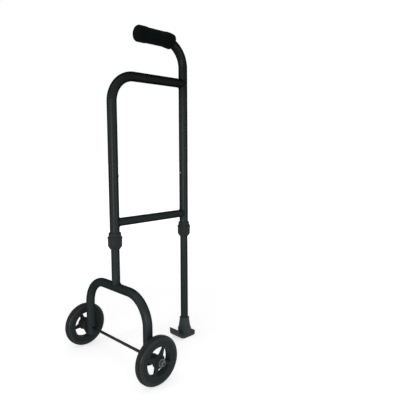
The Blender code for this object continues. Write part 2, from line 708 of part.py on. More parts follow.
def build_fasteners(side, axle_end):
    """Washers and nut on one end of the axle. The end's Z axis points out along the rod from the middle."""
    for name, radius, low in ((side + "_inner_washer", INNER_WASHER_R, INNER_WASHER_X),
                              (side + "_outer_washer", OUTER_WASHER_R, OUTER_WASHER_X)):
        washer = turned(name, [
            (AXLE_HOLE_R, low + WASHER_T),
            (radius, low + WASHER_T),
            (radius, low),
            (AXLE_HOLE_R, low),
        ], DISC_SIDES, axle_end)
        dress(washer, BRIGHT_STEEL)
    nut = rod(side + "_axle_nut", NUT_FLATS / math.sqrt(3), NUT_HEX_H, 6, axle_end,
              (0.0, 0.0, AXLE_NUT_X + NUT_HEX_H / 2))
    collar = turned(side + "_nut_collar", [
        (0.0, AXLE_NUT_X + NUT_HEX_H + NUT_COLLAR_H),
        (NUT_COLLAR_R - 0.0006, AXLE_NUT_X + NUT_HEX_H + NUT_COLLAR_H),
        (NUT_COLLAR_R, AXLE_NUT_X + NUT_HEX_H + NUT_COLLAR_H - 0.0006),
        (NUT_COLLAR_R, AXLE_NUT_X + NUT_HEX_H / 2),
        (0.0, AXLE_NUT_X + NUT_HEX_H / 2),
    ], SMALL_SIDES, axle_end, group=CUTTERS)
    combine(nut, collar, "UNION")
    bore = rod(side + "_nut_bore", AXLE_HOLE_R, 4 * NUT_HEX_H, SMALL_SIDES, axle_end,
               (0.0, 0.0, AXLE_NUT_X + NUT_HEX_H / 2), group=CUTTERS)
    combine(nut, bore, "DIFFERENCE")
    dress(nut, BRIGHT_STEEL)


clear_scene()
PARTS = new_collection("one_hand_walking_aid")
CUTTERS = new_collection("cutters")

FRAME_BLACK = make_material("frame_black", (0.022, 0.023, 0.025), 0.38, 0.0)
LEG_BLACK = make_material("leg_black", (0.020, 0.021, 0.023), 0.40, 0.0)
WELD_BLACK = make_material("weld_black", (0.022, 0.023, 0.025), 0.45, 0.0)
GRIP_BLACK = make_material("grip_black", (0.008, 0.008, 0.009), 0.75, 0.0)
COLLAR_BLACK = make_material("collar_black", (0.018, 0.019, 0.020), 0.48, 0.0)
COLLAR_NATURAL = make_material("collet_grey", (0.25, 0.25, 0.25), 0.5, 0.0)
FOOT_RUBBER = make_material("foot_rubber", (0.013, 0.013, 0.014), 0.7, 0.0)
TYRE_RUBBER = make_material("tyre_rubber", (0.015, 0.015, 0.016), 0.6, 0.0)
WHEEL_BLACK = make_material("wheel_black", (0.016, 0.016, 0.018), 0.45, 0.0)
BUSH_PLASTIC = make_material("bush_black", (0.03, 0.03, 0.03), 0.4, 0.0)
PLUG_BLACK = make_material("plug_black", (0.015, 0.015, 0.016), 0.6, 0.0)
BRIGHT_STEEL = make_material("bright_steel", (0.42, 0.42, 0.43), 0.35, 1.0)
SPRING_STEEL = make_material("spring_steel", (0.30, 0.30, 0.32), 0.35, 1.0)
ROD_STEEL = make_material("rod_steel", (0.09, 0.08, 0.07), 0.45, 1.0)

REAR = empty("rear_axis", (0.0, REAR_Y, 0.0))
FRONT = empty("front_axis", (0.0, FRONT_Y, 0.0))
REAR_LEG_SLIDE = empty("rear_leg_slide", (0.0, 0.0, 0.0), parent=REAR)
FRONT_LEG_SLIDE = empty("front_leg_slide", (0.0, 0.0, 0.0), parent=FRONT)
REAR_NUT_TURN = empty("rear_nut_turn", (0.0, 0.0, COLLAR_Z), parent=REAR)
FRONT_NUT_TURN = empty("front_nut_turn", (0.0, 0.0, COLLAR_Z), parent=FRONT)
# A button's Z axis points out of its upright and its Y axis points up.
REAR_BUTTON = empty("rear_button_press", (0.0, 0.0, BUTTON_Z), (math.pi / 2, 0.0, 0.0), REAR)
FRONT_BUTTON = empty("front_button_press", (0.0, 0.0, BUTTON_Z), (math.pi / 2, 0.0, math.pi), FRONT)
RIGHT_SPIN = empty("right_wheel_spin", (WHEEL_X, 0.0, WHEEL_R), (0.0, math.pi / 2, 0.0), FRONT_LEG_SLIDE)
LEFT_SPIN = empty("left_wheel_spin", (-WHEEL_X, 0.0, WHEEL_R), (0.0, -math.pi / 2, 0.0), FRONT_LEG_SLIDE)
RIGHT_END = empty("right_axle_end", (0.0, 0.0, WHEEL_R), (0.0, math.pi / 2, 0.0), FRONT_LEG_SLIDE)
LEFT_END = empty("left_axle_end", (0.0, 0.0, WHEEL_R), (0.0, -math.pi / 2, 0.0), FRONT_LEG_SLIDE)

build_frame(REAR, FRONT)
build_grip(REAR)
build_collar("rear", REAR, REAR_NUT_TURN)
build_collar("front", FRONT, FRONT_NUT_TURN)
REAR_LEG = build_leg("rear", "rear_leg", FOOT_SOCKET_Z + 2 * GAP + FOOT_WASHER_T, REAR_LEG_SLIDE, REAR_BUTTON)
FRONT_LEG = build_leg("front", "front_leg", ARCH_Z, FRONT_LEG_SLIDE, FRONT_BUTTON)
build_foot(REAR_LEG_SLIDE)
build_arch(FRONT_LEG_SLIDE, FRONT_LEG)
build_wheel("right", RIGHT_SPIN, RIGHT_TURN)
build_wheel("left", LEFT_SPIN, LEFT_TURN)
build_fasteners("right", RIGHT_END)
build_fasteners("left", LEFT_END)
bpy.context.view_layer.update()
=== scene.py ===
import math

import bmesh
import bpy
from mathutils import Matrix, Vector


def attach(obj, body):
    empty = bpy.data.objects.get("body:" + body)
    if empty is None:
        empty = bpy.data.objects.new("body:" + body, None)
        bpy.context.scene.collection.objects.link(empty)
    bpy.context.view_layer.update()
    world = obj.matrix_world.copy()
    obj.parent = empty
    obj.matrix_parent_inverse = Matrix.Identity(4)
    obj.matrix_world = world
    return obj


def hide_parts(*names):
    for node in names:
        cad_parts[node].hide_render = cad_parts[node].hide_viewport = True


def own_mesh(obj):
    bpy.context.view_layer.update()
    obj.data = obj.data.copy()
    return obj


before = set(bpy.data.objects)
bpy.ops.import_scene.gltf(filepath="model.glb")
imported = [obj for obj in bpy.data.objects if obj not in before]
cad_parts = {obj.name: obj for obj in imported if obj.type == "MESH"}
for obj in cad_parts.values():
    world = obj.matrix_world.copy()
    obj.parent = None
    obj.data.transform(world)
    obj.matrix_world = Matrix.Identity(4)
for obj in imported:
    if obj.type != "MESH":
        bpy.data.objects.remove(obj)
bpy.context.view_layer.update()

# Sizes in metres. The tubes are 0.2 to 0.3 mm thicker in radius than the part's.
GAP = 0.0003
FRONT_Y = -0.11025
REAR_Y = 0.14175
SPACING = REAR_Y - FRONT_Y
UPRIGHT_R = 0.0130
UPRIGHT_BORE = 0.0117
LEG_R = 0.0113
LEG_BORE = 0.0099
CROSSBAR_R = 0.0113
CROSSBAR_BORE = 0.0101
CUT_END = 0.02
UPRIGHT_END_Z = 0.338
BEND_R = 0.071
RAIL_Z = 0.7755
HANDLE_Z = 0.890
HANDLE_REACH = 0.158
CROSSBAR_Z = 0.3895
LEG_TOP_Z = 0.603
REAR_LEG_END_Z = 0.0120
BUTTON_Z = 0.513
BUTTON_R = 0.0037
BUTTON_STANDOUT = 0.0038
FLANGE_R = 0.005
FLANGE_T = 0.0007
STOP_PITCH = 0.0254
STOPS_EACH_WAY = 3
CLIP_T = 0.0006
CLIP_W = 0.007
CLIP_ABOVE = 0.005
CLIP_FOLD = 0.042
COLLAR_Z = 0.3188
NUT_H = 0.0332
NUT_FLOOR_T = 0.0034
RING_H = 0.0082
ARCH_R = 0.0123
ARCH_BORE = 0.0105
ARCH_Z = 0.213
ARCH_HALF = 0.133
ARCH_BEND_R = 0.075
ARCH_END_Z = 0.0466
WHEEL_R = 0.0635
WHEEL_X = 0.1669
RIB_PITCH = 0.0046
RIGHT_TURN = -0.436 - math.pi / 2
LEFT_TURN = -0.270 - math.pi / 2
ROD_R = 0.0035
ROD_MIDDLE_R = 0.0040
ROD_END_X = 0.1948
HOLE_R = 0.0038
WASHER_T = 0.0015
WELD_R = 0.0013
MERGE = 0.00001
SHARP_ANGLE = math.radians(38.0)
ROUND = 64

# painted shade colour for the upper tubes
HIGH_PAINTED_SHADE = (0.0045, 0.0056, 0.0058)
# painted light colour for the lower tubes
LOW_PAINTED_LIGHT = (0.0235, 0.0325, 0.0330)
WHITE = (1.0, 1.0, 1.0)
DARK = (0.0, 0.0, 0.0)
ROOM_LIGHT = 0.22
ROOM_SEEN = 1.0


class Signal:
    """One output of a shader node, with arithmetic that adds Math nodes."""

    def __init__(self, finish, socket):
        self.finish = finish
        self.socket = socket

    def maths(self, operation, first, second):
        return self.finish.node("Math", {"operation": operation}, {0: first, 1: second})

    def __add__(self, other):
        return self.maths("ADD", self, other)

    __radd__ = __add__

    def __sub__(self, other):
        return self.maths("SUBTRACT", self, other)

    def __rsub__(self, other):
        return self.maths("SUBTRACT", other, self)

    def __mul__(self, other):
        return self.maths("MULTIPLY", self, other)

    __rmul__ = __mul__


class Finish:
    """A material built from nodes on Object coordinates."""

    def __init__(self, name, metallic=0.0, specular=0.5, coat_roughness=0.2):
        self.material = bpy.data.materials.new(name)
        self.material.use_nodes = True
        self.tree = self.material.node_tree
        self.shader = self.tree.nodes["Principled BSDF"]
        self.shader.inputs["Metallic"].default_value = metallic
        self.shader.inputs["Specular IOR Level"].default_value = specular
        self.shader.inputs["Coat Roughness"].default_value = coat_roughness
        self.place = self.node("TexCoord", {}, {}, "Object")

    def node(self, kind, settings, inputs, output=0):
        made = self.tree.nodes.new("ShaderNode" + kind)
        for key, value in settings.items():
            setattr(made, key, value)
        for key, value in inputs.items():
            if isinstance(value, Signal):
                self.tree.links.new(value.socket, made.inputs[key])
            else:
                made.inputs[key].default_value = value
        return Signal(self, made.outputs[output])

    def noise(self, scale, detail=2.0, roughness=0.5, place=None):
        return self.node("TexNoise", {}, {"Vector": place or self.place, "Scale": scale, "Detail": detail,
                                          "Roughness": roughness}, "Fac")

    def stretched(self, x, y, z):
        return self.node("Mapping", {}, {"Vector": self.place, "Scale": (x, y, z)})

    def band(self, signal, low, high):
        """0 below low, 1 above high and smooth between."""
        return self.node("MapRange", {"interpolation_type": "SMOOTHSTEP"},
                         {"Value": signal, "From Min": low, "From Max": high})

    def mix(self, amount, first, second):
        """A colour between two others. Sockets 6 and 7 take them and output 2 gives the result."""
        return self.node("Mix", {"data_type": "RGBA"}, {"Factor": amount, 6: first, 7: second}, 2)

    def blend(self, amount, first, second):
        """A mix of two plain colours."""
        return self.mix(amount, (*first, 1.0), (*second, 1.0))

    def tint(self, colour, other, amount):
        """A signal's colour with a plain colour mixed into it."""
        return self.mix(amount, colour, (*other, 1.0))

    def along(self, axis):
        """One coordinate of the place."""
        return self.node("SeparateXYZ", {}, {0: self.place}, axis)

    def set(self, **links):
        for key, value in links.items():
            socket = self.shader.inputs[key.replace("_", " ")]
            if isinstance(value, Signal):
                self.tree.links.new(value.socket, socket)
            else:
                socket.default_value = value

    def bump(self, height, strength, distance):
        relief = self.node("Bump", {}, {"Height": height, "Strength": strength, "Distance": distance})
        self.tree.links.new(relief.socket, self.shader.inputs["Normal"])


def scaled(colour, times):
    return tuple(times * value for value in colour)


def powder_coat(name, base, lifted, low, high):
    """Baked powder paint with fine orange peel and dust specks, painted darker high up as painted shade and
    lighter near the floor as painted light.
    """
    finish = Finish(name, specular=0.0, coat_roughness=0.28)
    slow = finish.noise(9.0, 3.0, 0.55)
    streak = finish.noise(26.0, 2.0, 0.5, finish.stretched(1.0, 1.0, 0.12))
    dust = finish.band(finish.noise(160.0, 4.0, 0.7), 0.60, 0.78)
    colour = finish.blend(finish.band(slow, 0.3, 0.7), base, lifted)
    colour = finish.tint(colour, scaled(lifted, 3.0), dust * 0.08)
    up = finish.along("Z")
    # painted shade: the colour is darkened above about 0.7 m, where the upper tubes take less light
    colour = finish.tint(colour, HIGH_PAINTED_SHADE, finish.band(up + slow * 0.02, 0.70, 0.80))
    # painted light: the colour is lifted to a lighter teal below about 0.5 m, where more light falls near the
    # floor
    colour = finish.tint(colour, LOW_PAINTED_LIGHT, 1.0 - finish.band(up + slow * 0.03, 0.10, 0.52))
    finish.set(Base_Color=colour, Roughness=low + (high - low) * (0.6 * slow + 0.4 * streak) + dust * 0.12)
    turned = finish.node("LayerWeight", {}, {"Blend": 0.5}, "Facing")
    finish.set(Coat_Weight=(0.16 + 0.08 * streak) * (1.0 - finish.band(turned, 0.12, 0.50)))
    peel = finish.noise(620.0, 1.0, 0.4) * 0.7 + finish.noise(210.0, 1.0, 0.4) * 0.3
    finish.bump(peel, 0.22, 0.00012)
    return finish.material


def moulded(name, base, lifted, low, high, grain=1100.0, relief=0.25, specular=0.13):
    """Moulded plastic or rubber: fine grain, uneven gloss and a trace of dust in the grain."""
    finish = Finish(name, specular=specular)
    slow = finish.noise(22.0, 3.0, 0.6)
    fine = finish.noise(grain, 2.0, 0.6)
    scuff = finish.band(finish.noise(90.0, 5.0, 0.75, finish.stretched(1.0, 1.0, 0.5)), 0.58, 0.72)
    colour = finish.blend(finish.band(slow, 0.25, 0.75), base, lifted)
    colour = finish.tint(colour, scaled(lifted, 2.5), scuff * 0.12)
    finish.set(Base_Color=colour, Roughness=low + (high - low) * slow + scuff * 0.1)
    finish.bump(fine * 0.6 + finish.noise(grain / 5.0, 2.0, 0.5) * 0.4, relief, 0.00015)
    return finish.material


def worn_rubber(name, base, lifted):
    """Tyre rubber: fine dust specks, the tread painted darker as painted shade, and polished on the crests of
    its ribs.
    """
    finish = Finish(name, specular=0.10, coat_roughness=0.12)
    slow = finish.noise(22.0, 3.0, 0.6)
    fine = finish.noise(900.0, 2.0, 0.6)
    off = finish.node("Math", {"operation": "ABSOLUTE"}, {0: finish.along("X")})
    off = finish.node("Math", {"operation": "ABSOLUTE"}, {0: off - WHEEL_X})
    crest = finish.node("Math", {"operation": "COSINE"}, {0: off * (2 * math.pi / RIB_PITCH)})
    crest = finish.band(crest, 0.60, 0.97) * (1.0 - finish.band(off, 0.0102, 0.0112))
    colour = finish.blend(finish.band(slow, 0.25, 0.75), base, lifted)
    colour = finish.tint(colour, scaled(lifted, 2.5), finish.band(fine, 0.55, 0.8) * 0.10)
    # painted shade: the tread band is painted darker than the sides, against the lamp light that falls on it
    tread = 1.0 - finish.band(off, 0.0080, 0.0112)
    colour = finish.tint(colour, scaled(base, 0.3), tread * 0.85)
    finish.set(Base_Color=colour, Roughness=0.66 - 0.16 * crest + 0.08 * slow, Coat_Weight=0.5 * crest)
    finish.bump(fine * 0.6 + finish.noise(180.0, 2.0, 0.5) * 0.4, 0.3, 0.00015)
    return finish.material


def foam(name):
    """Closed-cell grip foam: pores, a dry surface and slightly polished high places."""
    finish = Finish(name, specular=0.04)
    pores = finish.node("TexVoronoi", {"feature": "F1"}, {"Vector": finish.place, "Scale": 900.0}, "Distance")
    slow = finish.noise(35.0, 3.0, 0.6)
    worn = finish.band(slow, 0.52, 0.72)
    colour = finish.blend(finish.band(pores, 0.1, 0.55), (0.0022, 0.0030, 0.0031), (0.0038, 0.0050, 0.0051))
    colour = finish.tint(colour, (0.0060, 0.0072, 0.0074), worn * 0.35)
    finish.set(Base_Color=colour, Roughness=0.90 - 0.14 * worn + finish.noise(500.0) * 0.05)
    finish.bump(pores * 0.7 + finish.noise(260.0, 3.0, 0.6) * 0.5, 0.35, 0.00025)
    return finish.material


def plated(name, base, lifted, low, high, marks=420.0):
    """Plated steel: cloudy tone, fine turning marks and small dull spots."""
    finish = Finish(name, metallic=1.0)
    cloud = finish.noise(130.0, 3.0, 0.6)
    lines = finish.noise(marks, 2.0, 0.5, finish.stretched(6.0, 1.0, 1.0))
    spots = finish.band(finish.noise(700.0, 3.0, 0.7), 0.62, 0.74)
    colour = finish.blend(cloud, base, lifted)
    colour = finish.tint(colour, scaled(base, 0.45), spots * 0.5)
    finish.set(Base_Color=colour, Roughness=low + (high - low) * lines + spots * 0.2)
    finish.bump(lines, 0.12, 0.00006)
    return finish.material


FRAME_PAINT = powder_coat("frame_paint", (0.0140, 0.0172, 0.0176), (0.0180, 0.0218, 0.0223), 0.40, 0.54)
LEG_PAINT = powder_coat("leg_paint", (0.0158, 0.0200, 0.0203), (0.0202, 0.0254, 0.0257), 0.40, 0.54)
WELD_PAINT = powder_coat("weld_paint", (0.0130, 0.0160, 0.0163), (0.0167, 0.0202, 0.0207), 0.44, 0.58)
GRIP_FOAM = foam("grip_foam")
COLLAR_PLASTIC = moulded("collar_plastic", (0.0165, 0.0190, 0.0200), (0.0200, 0.0228, 0.0240), 0.50, 0.62)
COLLET_PLASTIC = moulded("collet_plastic", (0.20, 0.20, 0.19), (0.27, 0.27, 0.26), 0.45, 0.6)
FOOT_RUBBER = moulded("foot_rubber", (0.0530, 0.0605, 0.0620), (0.0660, 0.0750, 0.0775), 0.62, 0.78,
                      800.0, 0.35)
TYRE_RUBBER = worn_rubber("tyre_rubber", (0.0285, 0.0335, 0.0342), (0.0355, 0.0415, 0.0424))
WHEEL_PLASTIC = moulded("wheel_plastic", (0.0225, 0.0268, 0.0274), (0.0285, 0.0338, 0.0345), 0.56, 0.70,
                        specular=0.06)
BUSH_PLASTIC = moulded("bush_plastic", (0.016, 0.016, 0.017), (0.024, 0.024, 0.025), 0.38, 0.5)
PLUG_PLASTIC = moulded("plug_plastic", (0.0205, 0.0240, 0.0246), (0.0262, 0.0306, 0.0312), 0.5, 0.66)
ZINC = plated("zinc_plate", (0.085, 0.088, 0.090), (0.190, 0.194, 0.198), 0.26, 0.44)
SPRING_STEEL = plated("spring_steel", (0.26, 0.26, 0.28), (0.38, 0.38, 0.40), 0.28, 0.42)
ROD_PLATE = plated("rod_plate", (0.0180, 0.0200, 0.0202), (0.0310, 0.0338, 0.0340), 0.40, 0.55, 300.0)


def corners(geometry):
    return [part for part in geometry if isinstance(part, bmesh.types.BMVert)]


def whole(work):
    return list(work.verts) + list(work.edges) + list(work.faces)


def disc(work, radius, place):
    """A flat round face, the start of a rod."""
    bmesh.ops.create_circle(work, cap_ends=True, radius=radius, segments=ROUND, matrix=place)
    return whole(work)


def annulus(work, outer, inner, place):
    """A flat ring of faces, the start of a tube."""
    made = bmesh.ops.create_circle(work, cap_ends=False, radius=outer, segments=ROUND, matrix=place)
    rim = {edge for vert in made["verts"] for edge in vert.link_edges}
    made = bmesh.ops.extrude_edge_only(work, edges=list(rim))
    bmesh.ops.scale(work, verts=corners(made["geom"]), vec=(inner / outer, inner / outer, 1.0),
                    space=place.inverted())
    return whole(work)


def straight(move):
    """A step of a tube's path: on along the given move."""
    def step(work, section):
        made = bmesh.ops.extrude_face_region(work, geom=section)["geom"]
        bmesh.ops.translate(work, verts=corners(made), vec=move)
        return made
    return step


def curved(centre, axis, angle, steps=24):
    """A step of a tube's path: round a bend."""
    def step(work, section):
        return bmesh.ops.spin(work, geom=section, cent=centre, axis=axis, dvec=(0.0, 0.0, 0.0), angle=angle,
                              steps=steps, use_merge=False, use_duplicate=False)["geom_last"]
    return step


def draw(work, section, steps, last=None, first=None):
    """Draws a section along its path. Each end may be shaped afterwards."""
    start = corners(section)
    for step in steps:
        section = step(work, section)
    for verts, shape in ((start, first), (corners(section), last)):
        if shape:
            for vert in verts:
                shape(vert)
    bmesh.ops.recalc_face_normals(work, faces=work.faces)


def tube(work, outer, inner, place, steps, last=None, first=None):
    """A tube with a real bore."""
    draw(work, annulus(work, outer, inner, place), steps, last, first)


def lathe(work, profile, sides=ROUND):
    """Turns (radius, height) points about the Z axis."""
    points = [work.verts.new((radius, 0.0, height)) for radius, height in profile]
    lines = [work.edges.new(pair) for pair in zip(points, points[1:])]
    if profile[0][0] > 0.0:
        lines.append(work.edges.new((points[-1], points[0])))
    bmesh.ops.spin(work, geom=points + lines, cent=(0.0, 0.0, 0.0), axis=(0.0, 0.0, 1.0), dvec=(0.0, 0.0, 0.0),
                   angle=2 * math.pi, steps=sides, use_merge=True, use_duplicate=False)
    bmesh.ops.remove_doubles(work, verts=work.verts, dist=MERGE)
    bmesh.ops.recalc_face_normals(work, faces=work.faces)


def ease(work, size, angle, segments=2):
    """Rounds every edge that is sharper than the angle in degrees."""
    limit = math.radians(angle)
    sharp = [edge for edge in work.edges if edge.is_manifold and edge.calc_face_angle(0.0) > limit]
    bmesh.ops.bevel(work, geom=sharp, offset=size, offset_type="OFFSET", segments=segments, profile=0.5,
                    affect="EDGES", material=-1, clamp_overlap=True)


def as_object(name, work):
    """Makes an object of the worked mesh."""
    mesh = bpy.data.meshes.new(name)
    work.to_mesh(mesh)
    work.free()
    item = bpy.data.objects.new(name, mesh)
    bpy.context.scene.collection.objects.link(item)
    return item


def settle(item):
    """Bakes an object's modifiers into its mesh."""
    graph = bpy.context.evaluated_depsgraph_get()
    baked = bpy.data.meshes.new_from_object(item.evaluated_get(graph))
    item.modifiers.clear()
    item.data = baked


def boolean(item, tools, operation="DIFFERENCE"):
    """Cuts or joins with each tool in turn and removes the tools."""
    for tool in tools:
        step = item.modifiers.new("cut", "BOOLEAN")
        step.object = tool
        step.operation = operation
        step.solver = "EXACT"
    settle(item)
    for tool in tools:
        bpy.data.objects.remove(tool, do_unlink=True)
    return item


def drill(place, radius, length, sides=32):
    """A round cutter centred on a place and along its Z axis."""
    work = bmesh.new()
    bmesh.ops.create_cone(work, cap_ends=True, segments=sides, radius1=radius, radius2=radius, depth=length,
                          matrix=place)
    return as_object("drill", work)


def dress(item, material, body, slot, *nodes):
    """Gives a piece its finish, its body and the CAD nodes that it stands for."""
    item.data.materials.clear()
    item.data.materials.append(material)
    item.data.shade_smooth()
    item.data.set_sharp_from_angle(angle=SHARP_ANGLE)
    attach(item, body)
    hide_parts(*nodes)


def at(x, y, z):
    return Matrix.Translation((x, y, z))


def turn(degrees, axis):
    return Matrix.Rotation(math.radians(degrees), 4, axis)


def button_place(y, way):
    """Z points out of the upright at the height of the button."""
    return at(0.0, y, BUTTON_Z) @ turn(90.0 if way < 0 else -90.0, "X")


def saddle_on(y, way, radius):
    """Sets a rim's vertices on an upright of the given radius."""
    def shape(vert):
        vert.co.y = y + way * math.sqrt(max(radius * radius - vert.co.x * vert.co.x, 0.0))
    return shape


def on_arch(vert):
    """Sets a vertex of the front leg's lower rim on the arch."""
    reach = vert.co.y - FRONT_Y
    vert.co.z = ARCH_Z + math.sqrt(max((ARCH_R + GAP) ** 2 - reach * reach, 0.0))


def weld_ring(name, branch_r, main_r, place, body, node):
    """A rippled weld round a branch along +Z that stands on a main tube along X."""
    sides = 120
    ripples = 24.0
    ripple_depth = 0.10
    softening = 0.003
    around = branch_r + 0.0010
    off = main_r + 0.0008
    work = bmesh.new()
    made = bmesh.ops.create_circle(work, cap_ends=False, radius=WELD_R, segments=16,
                                   matrix=at(around, 0.0, 0.0) @ turn(90.0, "X"))
    rim = list({edge for vert in made["verts"] for edge in vert.link_edges})
    bmesh.ops.spin(work, geom=rim, cent=(0.0, 0.0, 0.0), axis=(0.0, 0.0, 1.0), dvec=(0.0, 0.0, 0.0),
                   angle=2 * math.pi, steps=sides, use_merge=True, use_duplicate=False)
    bmesh.ops.remove_doubles(work, verts=work.verts, dist=MERGE)
    for vert in work.verts:
        angle = math.atan2(vert.co.y, vert.co.x)
        ripple = 1.0 - ripple_depth * (0.5 + 0.5 * math.cos(ripples * angle))
        reach = math.hypot(vert.co.x, vert.co.y)
        reach = around + (reach - around) * ripple
        height = vert.co.z * ripple
        y = around * math.sin(angle)
        vert.co = (reach * math.cos(angle), reach * math.sin(angle),
                   height + math.sqrt(max(off * off - y * y, 0.0) + softening ** 2))
    bmesh.ops.recalc_face_normals(work, faces=work.faces)
    work.transform(place)
    dress(as_object(name, work), WELD_PAINT, body, "weld_black", node)


def build_frame():
    """Two bent tubes and a crossbar, each open end cut to the tube that it meets."""
    work = bmesh.new()
    tube(work, UPRIGHT_R, UPRIGHT_BORE, at(0.0, REAR_Y, UPRIGHT_END_Z), [
        straight((0.0, 0.0, HANDLE_Z - BEND_R - UPRIGHT_END_Z)),
        curved((0.0, REAR_Y - BEND_R, HANDLE_Z - BEND_R), (1.0, 0.0, 0.0), math.pi / 2),
        straight((0.0, BEND_R - HANDLE_REACH, 0.0)),
    ])
    hole = drill(button_place(REAR_Y, -1) @ at(0.0, 0.0, UPRIGHT_R), BUTTON_R + GAP, UPRIGHT_R)
    rear = boolean(as_object("rear_upright_tube", work), [hole])
    dress(rear, FRAME_PAINT, "frame", "frame_black", "rear_upright")

    work = bmesh.new()
    tube(work, UPRIGHT_R, UPRIGHT_BORE, at(0.0, FRONT_Y, UPRIGHT_END_Z), [
        straight((0.0, 0.0, RAIL_Z - BEND_R - UPRIGHT_END_Z)),
        curved((0.0, FRONT_Y + BEND_R, RAIL_Z - BEND_R), (1.0, 0.0, 0.0), -math.pi / 2),
        straight((0.0, SPACING - BEND_R - UPRIGHT_R - CUT_END, 0.0)),
        straight((0.0, CUT_END, 0.0)),
    ], saddle_on(REAR_Y, -1, UPRIGHT_R + GAP))
    hole = drill(button_place(FRONT_Y, 1) @ at(0.0, 0.0, UPRIGHT_R), BUTTON_R + GAP, UPRIGHT_R)
    front = boolean(as_object("front_upright_tube", work), [hole])
    dress(front, FRAME_PAINT, "frame", "frame_black", "front_upright")

    work = bmesh.new()
    tube(work, CROSSBAR_R, CROSSBAR_BORE, at(0.0, FRONT_Y + UPRIGHT_R, CROSSBAR_Z) @ turn(90.0, "X"), [
        straight((0.0, CUT_END, 0.0)),
        straight((0.0, SPACING - 2 * UPRIGHT_R - 2 * CUT_END, 0.0)),
        straight((0.0, CUT_END, 0.0)),
    ], saddle_on(REAR_Y, -1, UPRIGHT_R + GAP), saddle_on(FRONT_Y, 1, UPRIGHT_R + GAP))
    dress(as_object("crossbar_tube", work), FRAME_PAINT, "frame", "frame_black", "crossbar")

    on_rear = turn(90.0, "X") @ turn(90.0, "Z")
    on_front = turn(-90.0, "X") @ turn(90.0, "Z")
    for name, branch_r, place, node in (
            ("rail_weld_bead", UPRIGHT_R, at(0.0, REAR_Y, RAIL_Z) @ on_rear, "rail_weld"),
            ("crossbar_rear_bead", CROSSBAR_R, at(0.0, REAR_Y, CROSSBAR_Z) @ on_rear, "crossbar_rear_weld"),
            ("crossbar_front_bead", CROSSBAR_R, at(0.0, FRONT_Y, CROSSBAR_Z) @ on_front,
             "crossbar_front_weld")):
        weld_ring(name, branch_r, UPRIGHT_R, place, "frame", node)


def build_grip():
    """The grip is turned straight, then its rear end is laid over the start of the tube's bend."""
    length = 0.1249
    bend_at = 0.096
    bend_r = 0.110
    bulb = 0.0221
    waist = 0.0209
    nose_round = 0.0066
    tail_round = 0.0054
    slope = 0.006
    front_slope_at = 0.028
    rear_slope_at = 0.0965
    profile = [(0.0, 0.0), (0.0110, 0.0), (0.0148, 0.0001)]
    for step in range(1, 8):
        angle = math.pi / 2 * step / 7
        profile.append((bulb - nose_round * (1 - math.sin(angle)), nose_round * (1 - math.cos(angle)) + 0.0001))
    profile += [(bulb, 0.014), (bulb, 0.021), (bulb, front_slope_at)]
    for step in range(1, 6):
        part = step / 5
        fall = 3 * part ** 2 - 2 * part ** 3
        profile.append((bulb - (bulb - waist) * fall, front_slope_at + slope * part))
    profile += [(waist, 0.046), (waist - 0.0001, 0.065), (waist, 0.084), (waist, rear_slope_at)]
    for step in range(1, 6):
        part = step / 5
        climb = 3 * part ** 2 - 2 * part ** 3
        profile.append((waist + (bulb - waist) * climb, rear_slope_at + slope * part))
    profile += [(bulb, 0.107), (bulb, 0.112), (bulb, 0.116), (bulb, 0.1195)]
    for step in range(1, 7):
        angle = math.pi / 2 * step / 6
        profile.append((bulb - tail_round * (1 - math.cos(angle)), 0.1197 + tail_round * math.sin(angle)))
    profile.append((0.0, length))
    work = bmesh.new()
    lathe(work, profile, 72)
    nose = REAR_Y - HANDLE_REACH - 0.010
    for vert in work.verts:
        side, up, along = vert.co.x, vert.co.y, vert.co.z
        angle = max(along - bend_at, 0.0) / bend_r
        reach = min(along, bend_at) + (bend_r + up) * math.sin(angle)
        drop = (bend_r + up) * (1 - math.cos(angle))
        vert.co = (side, nose + reach, HANDLE_Z + 0.0005 + up - drop)
    bmesh.ops.recalc_face_normals(work, faces=work.faces)
    grip = as_object("foam_grip", work)

    work = bmesh.new()
    start = at(0.0, REAR_Y - HANDLE_REACH - GAP, HANDLE_Z) @ turn(90.0, "X")
    draw(work, disc(work, UPRIGHT_R + GAP, start), [
        straight((0.0, HANDLE_REACH + GAP - BEND_R, 0.0)),
        curved((0.0, REAR_Y - BEND_R, HANDLE_Z - BEND_R), (-1.0, 0.0, 0.0), math.pi / 2),
    ])
    boolean(grip, [as_object("grip_bore", work)])
    dress(grip, GRIP_FOAM, "frame", "grip_black", "hand_grip")


